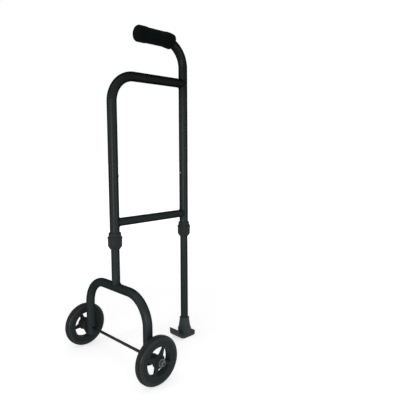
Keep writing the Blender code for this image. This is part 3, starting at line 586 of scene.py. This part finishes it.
def build_collar(side, y):
    """The sleeve on the upright's end and the lock nut that is turned onto it."""
    top = COLLAR_Z + NUT_H
    bush_low = COLLAR_Z + NUT_FLOOR_T + GAP + RING_H + GAP
    shoulder = UPRIGHT_END_Z - GAP
    work = bmesh.new()
    lathe(work, [
        (UPRIGHT_R + GAP, top + 0.0105), (0.0163, top + 0.0105), (0.0166, top + 0.0102), (0.0168, top + 0.0040),
        (0.0174, top + 0.0006), (0.0172, top + GAP), (0.0150, top + GAP),
        (0.0150, top - 0.00165), (0.0157, top - 0.00235), (0.0157, bush_low + 0.0034),
        (0.0152, bush_low + 0.0029), (0.0152, bush_low), (LEG_R + GAP, bush_low), (LEG_R + GAP, shoulder),
        (UPRIGHT_R + GAP, shoulder),
    ])
    ease(work, 0.0005, 50.0)
    work.transform(at(0.0, y, 0.0))
    dress(as_object(side + "_collar_sleeve", work), COLLAR_PLASTIC, "frame", "collar_black",
          side + "_collar_bush")

    work = bmesh.new()
    lathe(work, [
        (0.0160, NUT_H), (0.0187, NUT_H), (0.0195, 0.0324), (0.0199, 0.0308), (0.0198, 0.0292),
        (0.0193, 0.0280), (0.0192, 0.0268), (0.0190, 0.0170), (0.0188, 0.0086), (0.0184, 0.0072),
        (0.0137, 0.0003), (0.0134, 0.0), (LEG_R + GAP, 0.0), (LEG_R + GAP, NUT_FLOOR_T), (0.0140, NUT_FLOOR_T),
        (0.0160, 0.0119),
    ], 96)
    work.transform(at(0.0, y, COLLAR_Z))
    dress(as_object(side + "_nut_shell", work), COLLAR_PLASTIC, side + "_nut_set", "collar_black",
          side + "_lock_nut")


def build_leg(side, y, way, low, first=None):
    """A leg tube with its row of stop holes, and the button that stops it."""
    work = bmesh.new()
    tube(work, LEG_R, LEG_BORE, at(0.0, y, low), [
        straight((0.0, 0.0, CUT_END)),
        straight((0.0, 0.0, LEG_TOP_Z - low - CUT_END)),
    ], first=first)
    out = button_place(y, way) @ at(0.0, 0.0, LEG_R)
    holes = []
    for stop in range(-STOPS_EACH_WAY, STOPS_EACH_WAY + 1):
        holes.append(drill(at(0.0, 0.0, stop * STOP_PITCH) @ out, BUTTON_R + GAP, LEG_R))
    leg = boolean(as_object(side + "_leg_tube", work), holes)
    dress(leg, LEG_PAINT, side + "_leg_set", "leg_black", side + "_leg")

    tip = UPRIGHT_R + BUTTON_STANDOUT
    flange = math.sqrt((LEG_BORE - 2 * GAP) ** 2 - FLANGE_R ** 2)
    work = bmesh.new()
    profile = [(0.0, tip)]
    for step in range(1, 9):
        angle = math.pi / 2 * step / 8
        profile.append((BUTTON_R * math.sin(angle), tip - BUTTON_R * (1 - math.cos(angle))))
    profile += [(BUTTON_R, flange), (FLANGE_R, flange), (FLANGE_R, flange - FLANGE_T), (0.0, flange - FLANGE_T)]
    lathe(work, profile, 32)
    work.transform(button_place(y, way))
    dress(as_object(side + "_snap_button", work), ZINC, side + "_button_set", "bright_steel", side + "_button")


def flat_plate(name, points, thickness, place):
    """A plate with a drawn outline in its place's XY plane."""
    curve = bpy.data.curves.new(name, "CURVE")
    curve.dimensions = "2D"
    curve.fill_mode = "BOTH"
    curve.extrude = thickness / 2
    line = curve.splines.new("POLY")
    line.points.add(len(points) - 1)
    line.use_cyclic_u = True
    for index, (x, y) in enumerate(points):
        line.points[index].co = (x, y, 0.0, 1.0)
    item = bpy.data.objects.new(name, curve)
    bpy.context.scene.collection.objects.link(item)
    mesh = bpy.data.meshes.new_from_object(item.evaluated_get(bpy.context.evaluated_depsgraph_get()))
    bpy.data.objects.remove(item, do_unlink=True)
    work = bmesh.new()
    work.from_mesh(mesh)
    bmesh.ops.remove_doubles(work, verts=work.verts, dist=0.000001)
    bmesh.ops.recalc_face_normals(work, faces=work.faces)
    work.transform(place)
    return as_object(name, work)


def arc(centre, radius, start, end, steps):
    """Points along a circle, with both ends."""
    points = []
    for step in range(steps + 1):
        angle = start + (end - start) * step / steps
        points.append((centre[0] + radius * math.cos(angle), centre[1] + radius * math.sin(angle)))
    return points


def build_clip(side, y, way):
    """A folded strip of spring steel that closes up behind its button."""
    half = CLIP_T / 2
    room = LEG_BORE - 2 * GAP
    near = math.sqrt(room ** 2 - FLANGE_R ** 2) - FLANGE_T - GAP - half
    far = math.sqrt(room ** 2 - (CLIP_W / 2) ** 2) - half
    path = [(near, CLIP_ABOVE), (near, -CLIP_ABOVE)]
    path += arc((0.0, -CLIP_FOLD), LEG_BORE / 3, 0.0, -math.pi, 16)
    path.append((-far, CLIP_ABOVE))
    outer = []
    inner = []
    for index, point in enumerate(path):
        before = Vector(path[max(index - 1, 0)])
        after = Vector(path[min(index + 1, len(path) - 1)])
        across = (after - before).normalized()
        outer.append((point[0] - half * across.y, point[1] + half * across.x))
        inner.append((point[0] + half * across.y, point[1] - half * across.x))
    place = at(0.0, y, BUTTON_Z) @ turn(90.0 * way, "Z") @ turn(90.0, "X")
    clip = flat_plate(side + "_spring_clip", outer + inner[::-1], CLIP_W, place)
    dress(clip, SPRING_STEEL, "frame", "spring_steel", side + "_button_spring")
    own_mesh(clip)


def build_foot():
    """The sole and the cone are joined, melted together a little as moulded rubber is, and bored."""
    toe_r = 0.0345
    thick = 0.007
    top = 0.0108
    heel = 0.016
    rise = 0.0104
    down = -math.pi / 2
    sweep = math.radians(82.0)
    end = down - sweep
    middle_r = toe_r - thick / 2
    width = 0.043
    toe = (-0.0145, toe_r)
    outline = arc(toe, toe_r, down, end, 24)
    tip = (toe[0] + middle_r * math.cos(end), toe[1] + middle_r * math.sin(end))
    outline += arc(tip, thick / 2, end, end - math.pi, 10)[1:]
    outline += arc(toe, toe_r - thick, end, down - math.acos((toe_r - top) / (toe_r - thick)), 18)[1:]
    outline.append((heel, top))
    outline += arc((2 * heel - 0.00145, rise), 0.00125, math.pi / 2, 0.0, 5)
    outline += [(heel + heel * y, rise + rise * z) for y, z in arc((0.0, 0.0), 1.0, 0.0, down, 16)]
    place = at(0.0, REAR_Y, 0.0) @ turn(90.0, "Z") @ turn(90.0, "X")
    foot = flat_plate("rocker_foot", outline, width, place)

    corner_r = 0.012
    plan = []
    corners_at = ((0.0095, 0.0200), (-0.0095, 0.0200), (-0.0095, -0.0370), (0.0095, -0.0370))
    for quarter, corner in enumerate(corners_at):
        plan += arc(corner, corner_r, quarter * math.pi / 2, (quarter + 1) * math.pi / 2, 10)
    boolean(foot, [flat_plate("foot_plan", plan, 0.12, at(0.0, REAR_Y, 0.03))], "INTERSECT")

    work = bmesh.new()
    lathe(work, [
        (0.0, 0.0600), (0.0141, 0.0600), (0.0149, 0.0596), (0.0152, 0.0588), (0.0152, 0.0557), (0.0150, 0.0549),
        (0.0147, 0.0545), (0.0183, 0.0300), (0.0200, 0.0270), (0.0207, 0.0255), (0.0207, 0.0060), (0.0, 0.0060),
    ], 96)
    work.transform(at(0.0, REAR_Y, 0.0))
    boolean(foot, [as_object("foot_cone", work)], "UNION")
    groove_r = 0.0013
    grooves = []
    for y in (-0.010, -0.005, 0.0, 0.005, 0.010, 0.015):
        grooves.append(drill(at(0.0, REAR_Y + y, -0.0004) @ turn(90.0, "Y"), groove_r, 0.05, 12))
    boolean(foot, grooves)
    melt = foot.modifiers.new("melt", "REMESH")
    melt.mode = "VOXEL"
    melt.voxel_size = 0.0006
    soft = foot.modifiers.new("soften", "SMOOTH")
    soft.factor = 0.5
    soft.iterations = 5
    settle(foot)
    bore_floor = 0.0097
    bore_length = 0.06
    boolean(foot, [drill(at(0.0, REAR_Y, bore_floor + bore_length / 2), LEG_R + GAP, bore_length, ROUND)])
    dress(foot, FOOT_RUBBER, "rear_leg_set", "foot_rubber", "foot")


def build_arch():
    """The bent tube that the front leg stands on, with a plug in each of its ends."""
    corner_x = ARCH_HALF - ARCH_BEND_R
    corner_z = ARCH_Z - ARCH_BEND_R
    work = bmesh.new()
    tube(work, ARCH_R, ARCH_BORE, at(-ARCH_HALF, FRONT_Y, ARCH_END_Z), [
        straight((0.0, 0.0, corner_z - ARCH_END_Z)),
        curved((-corner_x, FRONT_Y, corner_z), (0.0, 1.0, 0.0), math.pi / 2, 28),
        straight((2 * corner_x, 0.0, 0.0)),
        curved((corner_x, FRONT_Y, corner_z), (0.0, 1.0, 0.0), math.pi / 2, 28),
        straight((0.0, 0.0, ARCH_END_Z - corner_z)),
    ])
    holes = []
    for x in (-ARCH_HALF, ARCH_HALF):
        holes.append(drill(at(x, FRONT_Y, WHEEL_R) @ turn(90.0, "Y"), HOLE_R, 4 * ARCH_R))
    arch = boolean(as_object("arch_tube", work), holes)
    dress(arch, FRAME_PAINT, "front_leg_set", "frame_black", "wheel_arch")
    weld_ring("arch_bead", LEG_R, ARCH_R, at(0.0, FRONT_Y, ARCH_Z), "front_leg_set", "arch_weld")

    stem = ARCH_BORE - GAP
    depth = 0.0100
    cap = 0.0025
    for side, x in (("right", ARCH_HALF), ("left", -ARCH_HALF)):
        work = bmesh.new()
        lathe(work, [(0.0, depth), (stem - 0.0005, depth), (stem, 0.0094), (stem, -GAP), (ARCH_R, -GAP),
                     (ARCH_R, -cap), (0.0, -cap)])
        ease(work, 0.0006, 60.0, 3)
        work.transform(at(x, FRONT_Y, ARCH_END_Z))
        dress(as_object(side + "_plug_cap", work), PLUG_PLASTIC, "front_leg_set", "plug_black",
              side + "_arch_plug")


def build_axle():
    """The rod is a little thicker between the arch's legs, which its shoulders sit just inside."""
    end = ROD_END_X
    chamfer = 0.0007
    pitch = 0.0010
    groove = 0.00035
    threaded = 0.0105
    shoulder = ARCH_HALF - ARCH_R - 0.0008
    work = bmesh.new()
    profile = [(0.0, end), (ROD_R - chamfer, end), (ROD_R, end - chamfer)]
    thread = end - chamfer
    while thread > end - threaded:
        profile.append((ROD_R - groove, thread - pitch / 2))
        profile.append((ROD_R, thread - pitch))
        thread -= pitch
    profile += [(ROD_R, shoulder), (ROD_MIDDLE_R - 0.0002, shoulder), (ROD_MIDDLE_R, shoulder - 0.0003)]
    profile += [(radius, -height) for radius, height in reversed(profile)]
    lathe(work, profile, 40)
    work.transform(at(0.0, FRONT_Y, WHEEL_R) @ turn(90.0, "Y"))
    dress(as_object("axle_bar", work), ROD_PLATE, "front_leg_set", "rod_steel", "axle_rod")


def build_tyre(side, place):
    """A rounded tread of five ribs with a groove between each two."""
    half = 0.0119
    flat = 0.0016
    seat = 0.050
    rise = 0.0115
    groove = 0.0009
    steps = 40
    first_groove = 14
    upper = [(seat, 0.0108), (seat + 0.0003, 0.0113), (seat + 0.0010, 0.0116), (seat + 0.0017, half - 0.0001)]
    for step in range(steps + 1):
        angle = math.pi / 2 * step / steps
        sunk = 0.0
        if step >= first_groove:
            sunk = groove * abs(math.cos(math.pi * (step - 24) / 20)) ** 8
        radius = WHEEL_R - rise * (1 - math.sin(angle)) - sunk * math.sin(angle)
        height = flat + (half - flat) * math.cos(angle) - sunk * math.cos(angle)
        upper.append((radius, height))
    lower = [(radius, -height) for radius, height in reversed(upper)]
    work = bmesh.new()
    lathe(work, upper + lower, 128)
    work.transform(place)
    dress(as_object(side + "_tyre_ring", work), TYRE_RUBBER, side + "_wheel", "tyre_rubber", side + "_tyre")


def build_core(side, place, angle):
    """Rim, web and hub in one moulding, with four windows between its spokes."""
    work = bmesh.new()
    lathe(work, [
        (0.0077, 0.0160), (0.0125, 0.0160), (0.0133, 0.0152), (0.0137, 0.0110), (0.0148, 0.0100),
        (0.0170, 0.0096), (0.0365, 0.0096), (0.0380, 0.0100), (0.0397, 0.0108), (0.0410, 0.0112),
        (0.0494, 0.0112), (0.0497, 0.0108),
        (0.0497, -0.0112), (0.0494, -0.0116), (0.0387, -0.0116), (0.0381, -0.0110), (0.0378, 0.0042),
        (0.0370, 0.0050), (0.0155, 0.0050), (0.0141, 0.0046), (0.0135, 0.0034), (0.0135, -0.0167),
        (0.0127, -0.0175), (0.0077, -0.0175),
    ], 96)
    core = as_object(side + "_core_moulding", work)
    wide_spoke = 0.0060
    thin_spoke = 0.0028
    inner = 0.0179
    outer = 0.0371
    corner = 0.0022
    middle = math.pi / 4
    out_half = middle - math.asin((thin_spoke + corner) / (outer - corner))
    in_half = middle - math.asin((wide_spoke + corner) / (inner + corner))
    far_up = ((outer - corner) * math.cos(out_half), (outer - corner) * math.sin(out_half))
    near_up = ((inner + corner) * math.cos(in_half), (inner + corner) * math.sin(in_half))
    square = math.atan2(far_up[1] - near_up[1], far_up[0] - near_up[0]) + math.pi / 2
    outline = arc((0.0, 0.0), outer, -out_half, out_half, 14)
    outline += arc(far_up, corner, out_half, square, 5)[1:]
    outline += arc(near_up, corner, square, math.pi + in_half, 5)
    outline += arc((0.0, 0.0), inner, in_half, -in_half, 6)[1:-1]
    outline += [(x, -y) for x, y in reversed(arc(near_up, corner, square, math.pi + in_half, 5))]
    outline += [(x, -y) for x, y in reversed(arc(far_up, corner, out_half, square, 5)[1:])]
    cutters = []
    for index in range(4):
        spot = turn(math.degrees(angle + middle + index * math.pi / 2), "Z") @ at(0.0, 0.0, 0.006)
        cutters.append(flat_plate("window", outline, 0.02, spot))
    boolean(core, cutters)
    core.data.transform(place)
    dress(core, WHEEL_PLASTIC, side + "_wheel", "wheel_black", side + "_wheel_core")


def build_hardware(side, place):
    """Washers and nut, in heights along the axle from the middle of the walking aid."""
    for name, radius, low in (("inner_washer", 0.0090, 0.1454), ("outer_washer", 0.0105, 0.1850)):
        high = low + WASHER_T
        work = bmesh.new()
        lathe(work, [(HOLE_R, high), (radius, high), (radius, low), (HOLE_R, low)], 48)
        ease(work, 0.00025, 50.0)
        work.transform(place)
        dress(as_object("%s_%s_disc" % (side, name), work), ZINC, "front_leg_set", "bright_steel",
              "%s_%s" % (side, name))
    low = 0.1868
    hexagon_r = 0.0075
    hexagon_h = 0.0052
    collar_r = 0.0056
    collar_low = low + 0.0030
    collar_top = low + 0.0070
    work = bmesh.new()
    bmesh.ops.create_cone(work, cap_ends=True, segments=6, radius1=hexagon_r, radius2=hexagon_r,
                          depth=hexagon_h, matrix=at(0.0, 0.0, low + hexagon_h / 2))
    ease(work, 0.0003, 70.0)
    nut = as_object(side + "_nut_body", work)
    work = bmesh.new()
    lathe(work, [(0.0, collar_top), (0.0048, collar_top), (collar_r, low + 0.0064), (collar_r, collar_low),
                 (0.0, collar_low)], 40)
    boolean(nut, [as_object("nut_collar", work)], "UNION")
    boolean(nut, [drill(at(0.0, 0.0, low), HOLE_R, 0.03)])
    nut.data.transform(place)
    dress(nut, ZINC, "front_leg_set", "bright_steel", side + "_axle_nut")


def build_wheel(side, way, angle):
    """A wheel with its washers and nut, on one end of the rod."""
    place = at(0.0, FRONT_Y, WHEEL_R) @ turn(90.0 * way, "Y")
    middle = place @ at(0.0, 0.0, WHEEL_X)
    build_tyre(side, middle)
    build_core(side, middle, angle)
    build_hardware(side, place)


def paint_hidden_pieces():
    """Gives the rings, the disc and the bushes, whose meshes stay as they come, their finishes."""
    for node, paint in (
            ("rear_collar_ring", COLLET_PLASTIC), ("front_collar_ring", COLLET_PLASTIC), ("foot_washer", ZINC),
            ("right_inner_bush", BUSH_PLASTIC), ("right_outer_bush", BUSH_PLASTIC),
            ("left_inner_bush", BUSH_PLASTIC), ("left_outer_bush", BUSH_PLASTIC)):
        for slot in bpy.data.objects[node].material_slots:
            slot.material = paint


def build_studio():
    """A pale floor that keeps the shadow, soft lamps and an even white room."""
    work = bmesh.new()
    bmesh.ops.create_grid(work, x_segments=1, y_segments=1, size=14.0, matrix=at(0.0, 0.0, -0.0004))
    floor = as_object("studio_floor", work)
    paint = Finish("floor_paint", specular=0.0)
    seen = paint.node("LightPath", {}, {}, "Is Camera Ray")
    seen = seen + paint.node("LightPath", {}, {}, "Is Glossy Ray")
    seen = seen + paint.node("LightPath", {}, {}, "Is Transmission Ray")
    away = paint.node("VectorMath", {"operation": "LENGTH"}, {0: paint.place}, "Value")
    glow = seen * (0.66 + 0.33 * paint.band(away, 0.5, 1.8))
    paint.set(Roughness=1.0, Emission_Strength=1.0)
    paint.set(Emission_Color=paint.blend(glow, DARK, WHITE))
    paint.set(Base_Color=paint.blend(paint.noise(3.0), (0.83, 0.83, 0.83), (0.85, 0.85, 0.85)))
    floor.data.materials.append(paint.material)

    world = bpy.data.worlds.new("studio_room")
    bpy.context.scene.world = world
    world.use_nodes = True
    tree = world.node_tree
    tree.nodes.clear()
    path = tree.nodes.new("ShaderNodeLightPath")
    seen = path.outputs["Is Camera Ray"]
    for ray in ("Is Glossy Ray", "Is Transmission Ray"):
        either = tree.nodes.new("ShaderNodeMath")
        either.operation = "MAXIMUM"
        tree.links.new(seen, either.inputs[0])
        tree.links.new(path.outputs[ray], either.inputs[1])
        seen = either.outputs[0]
    choose = tree.nodes.new("ShaderNodeMixShader")
    tree.links.new(seen, choose.inputs[0])
    for socket, strength in ((1, ROOM_LIGHT), (2, ROOM_SEEN)):
        room = tree.nodes.new("ShaderNodeBackground")
        room.inputs["Color"].default_value = (*WHITE, 1.0)
        room.inputs["Strength"].default_value = strength
        tree.links.new(room.outputs[0], choose.inputs[socket])
    result = tree.nodes.new("ShaderNodeOutputWorld")
    tree.links.new(choose.outputs[0], result.inputs[0])

    for name, spot, wide, tall, power in (
            ("key_lamp", (1.5, -1.9, 0.30), 1.3, 1.3, 31.0),
            ("top_lamp", (0.3, -0.5, 2.6), 2.0, 2.0, 9.0),
            ("fill_lamp", (2.2, 0.3, 0.20), 1.0, 1.0, 8.5),
            ("strip_lamp", (-0.55, -2.0, 0.75), 0.22, 1.4, 4.6),
            ("back_lamp", (-1.2, 2.2, 0.8), 1.6, 1.6, 5.0)):
        lamp = bpy.data.lights.new(name, "AREA")
        lamp.shape = "RECTANGLE"
        lamp.size = wide
        lamp.size_y = tall
        lamp.energy = power
        holder = bpy.data.objects.new(name, lamp)
        bpy.context.scene.collection.objects.link(holder)
        aim = Vector((0.0, 0.0, 0.25)) - Vector(spot)
        holder.location = spot
        holder.rotation_euler = aim.to_track_quat("-Z", "Y").to_euler()


def build_camera():
    """A camera that stands where the photo was taken from."""
    lens = bpy.data.cameras.new("photo_camera")
    lens.sensor_width = 36.0
    lens.sensor_height = 36.0
    lens.lens = 39.265
    lens.clip_start = 0.05
    camera = bpy.data.objects.new("photo_camera", lens)
    bpy.context.scene.collection.objects.link(camera)
    spot = Vector((0.96343, -0.76647, 0.58035))
    aim = Vector((0.183175, 0.026863, 0.453021)) - spot
    roll = Matrix.Rotation(-0.00228, 3, "Z")
    camera.location = spot
    camera.rotation_euler = (aim.to_track_quat("-Z", "Y").to_matrix() @ roll).to_euler()
    bpy.context.scene.camera = camera


build_frame()
build_grip()
build_collar("rear", REAR_Y)
build_collar("front", FRONT_Y)
build_leg("rear", REAR_Y, -1, REAR_LEG_END_Z)
build_leg("front", FRONT_Y, 1, ARCH_Z, on_arch)
build_clip("rear", REAR_Y, -1)
build_clip("front", FRONT_Y, 1)
build_foot()
build_arch()
build_axle()
build_wheel("right", 1, RIGHT_TURN)
build_wheel("left", -1, LEFT_TURN)
paint_hidden_pieces()
build_studio()
build_camera()
bpy.context.scene.view_settings.view_transform = "Standard"
